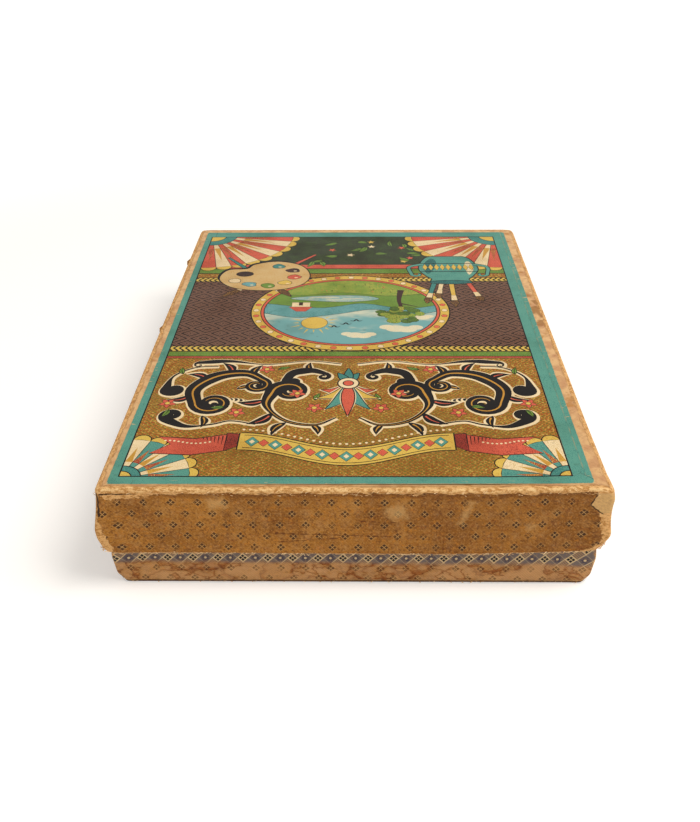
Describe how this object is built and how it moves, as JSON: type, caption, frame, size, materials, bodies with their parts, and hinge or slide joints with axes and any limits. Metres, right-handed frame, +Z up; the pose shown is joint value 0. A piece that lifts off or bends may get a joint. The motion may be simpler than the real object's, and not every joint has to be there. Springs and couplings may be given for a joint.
{
  "type": "kids art box",
  "caption": "Rectangular board box with a lift-off lid, patterned paper cover and a printed label, holding drawing paper, stencil cards and pencils.",
  "frame": {"origin": "middle of the underside of the base", "axes": "+X across the width, to the right as pictured; +Y along the length, away from the end that faces the camera; +Z up, the way the lid lifts off"},
  "size_m": [0.184, 0.26, 0.0456],
  "materials": {
    "strawboard": "matt, unlined, fibrous",
    "stay_paper": "matt kraft strip",
    "cover_paper": "matt, printed with a small repeating pattern, faded and rubbed",
    "label_paper": "printed and lightly varnished",
    "drawing_paper": "matt, aged cream",
    "stencil_card": "matt manila, cut by dies",
    "cedar": "plain polished wood, bare where sharpened",
    "graphite": "dark grey, slightly shiny"
  },
  "bodies": {
    "base": {"base_board": "strawboard", "base_cover_paper": "cover_paper", "base_corner_stay_near_left": "stay_paper", "base_corner_stay_near_right": "stay_paper", "base_corner_stay_far_left": "stay_paper", "base_corner_stay_far_right": "stay_paper"},
    "drawing_paper": {"drawing_paper": "drawing_paper"},
    "stencils": {"stencil_card_house": "stencil_card", "stencil_card_fish": "stencil_card", "stencil_card_bird": "stencil_card", "stencil_card_butterfly": "stencil_card", "stencil_card_boat": "stencil_card", "stencil_card_star": "stencil_card", "stencil_card_leaf": "stencil_card", "stencil_card_flower": "stencil_card"},
    "pencils": {"pencil_1_barrel": "cedar", "pencil_1_lead": "graphite", "pencil_2_barrel": "cedar", "pencil_2_lead": "graphite", "pencil_3_barrel": "cedar", "pencil_3_lead": "graphite"},
    "lid": {"lid_board": "strawboard", "lid_cover_paper": "cover_paper", "lid_label": "label_paper", "lid_corner_stay_near_left": "stay_paper", "lid_corner_stay_near_right": "stay_paper", "lid_corner_stay_far_left": "stay_paper", "lid_corner_stay_far_right": "stay_paper"}
  },
  "joints": [
    {"name": "paper_lift", "type": "slide", "parent": "base", "child": "drawing_paper", "axis": [0, 0, 1], "range_m": [0, 0.06]},
    {"name": "stencils_lift", "type": "slide", "parent": "drawing_paper", "child": "stencils", "axis": [0, 0, 1], "range_m": [0, 0.06]},
    {"name": "pencils_lift", "type": "slide", "parent": "stencils", "child": "pencils", "axis": [0, 0, 1], "range_m": [0, 0.06]},
    {"name": "lid_lift", "type": "slide", "parent": "pencils", "child": "lid", "axis": [0, 0, 1], "range_m": [0, 0.16]}
  ]
}
